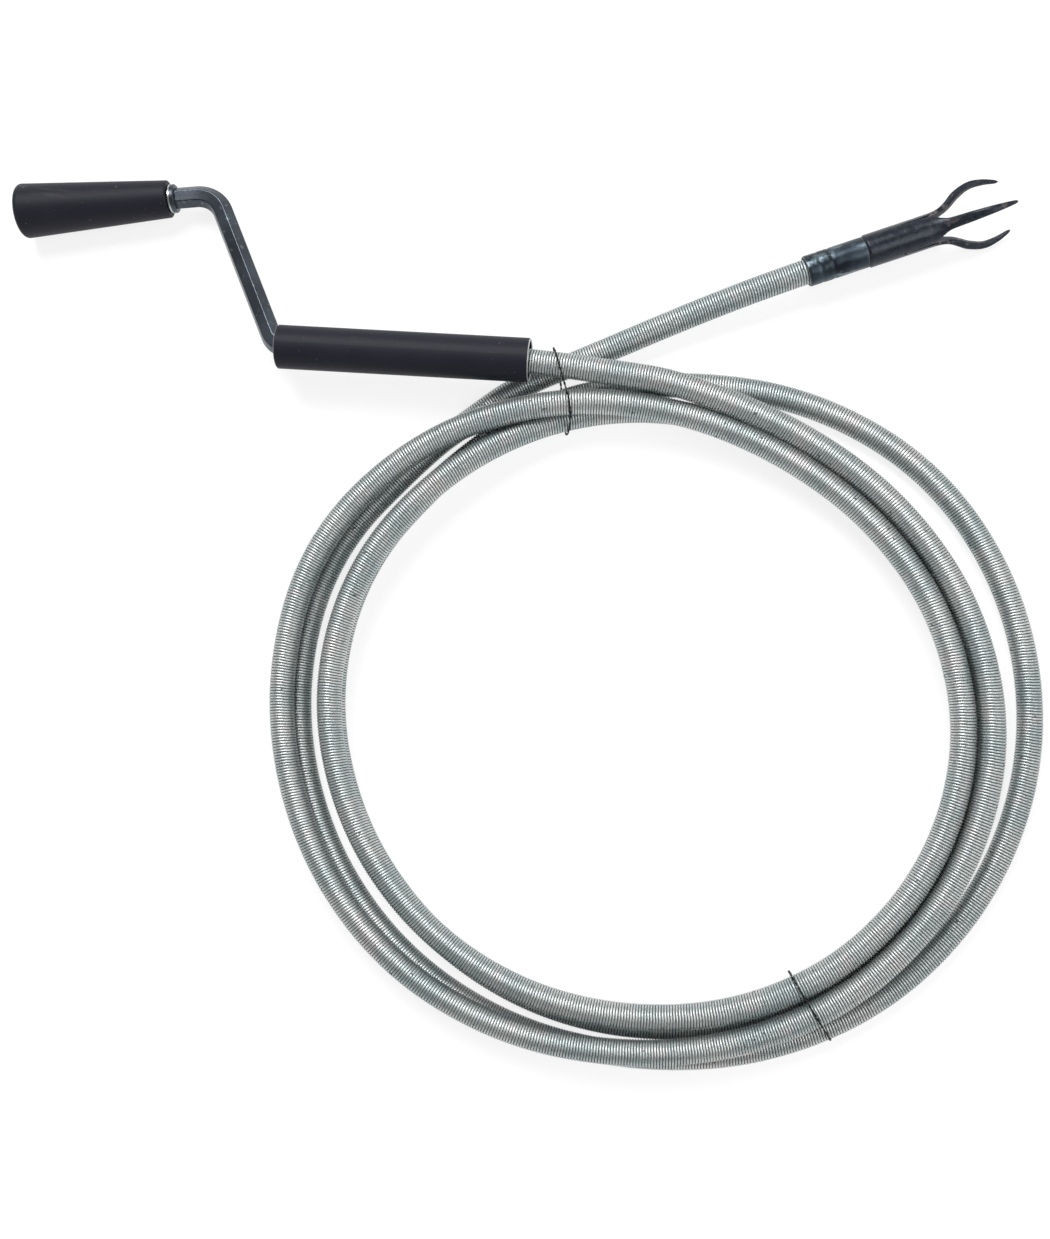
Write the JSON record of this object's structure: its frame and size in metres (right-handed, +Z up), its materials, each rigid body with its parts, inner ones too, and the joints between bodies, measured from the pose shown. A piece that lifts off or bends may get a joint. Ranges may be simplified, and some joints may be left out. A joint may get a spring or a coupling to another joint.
{
  "type": "drain auger",
  "caption": "Hand drain auger: hexagon-bar crank with a spinning tapered grip, a loose guide sleeve, and a long coiled wire spiral that ends in a three-tongued retriever claw.",
  "frame": {"origin": "on the floor under the middle of the handle (crank, grip and guide sleeve)", "axes": "+X along the guide sleeve's axis towards the spiral, +Z up, away from the floor the tool lies on"},
  "size_m": [0.6148, 0.5126, 0.0405],
  "materials": {
    "bar_steel": "black-oxide hexagon bar, satin, lightly worn on its edges",
    "grip_plastic": "dark blue-black moulded grip, satin",
    "sleeve_paint": "dark blue-black painted tube, satin, with bare rims",
    "plated_steel": "zinc plated",
    "zinc_spiral": "galvanised spring wire, semi-bright",
    "weld_bead": "rough weld bead, heat tinted",
    "ferrule_steel": "blue-black oxidised steel, satin",
    "claw_steel": "forged and blackened, worn on the tongues",
    "tie_wire": "black annealed wire"
  },
  "bodies": {
    "root": {"crank_arm": "bar_steel", "grip_collar": "bar_steel", "grip_washer": "plated_steel", "grip_push_nut": "plated_steel", "drive_weld": "weld_bead", "spiral_lead_in": "zinc_spiral", "spiral_coil": "zinc_spiral", "spiral_lead_out": "zinc_spiral", "head_ferrule": "ferrule_steel", "head_plug": "claw_steel", "retriever_claw": "claw_steel", "tie_wire_upper": "tie_wire", "tie_wire_lower": "tie_wire"},
    "grip": {"crank_grip": "grip_plastic", "grip_end_cap": "grip_plastic"},
    "sleeve": {"guide_sleeve": "sleeve_paint"}
  },
  "joints": [
    {"name": "grip_spin", "type": "hinge", "parent": "root", "child": "grip", "pos_m": [-0.0663, 0.04545, 0.01394], "axis": [-0.9906, -0.1353, 0.0214], "continuous": true},
    {"name": "sleeve_spin", "type": "hinge", "parent": "root", "child": "sleeve", "pos_m": [0.1581, -0.0436, 0.028], "axis": [1, 0, 0], "continuous": true}
  ]
}
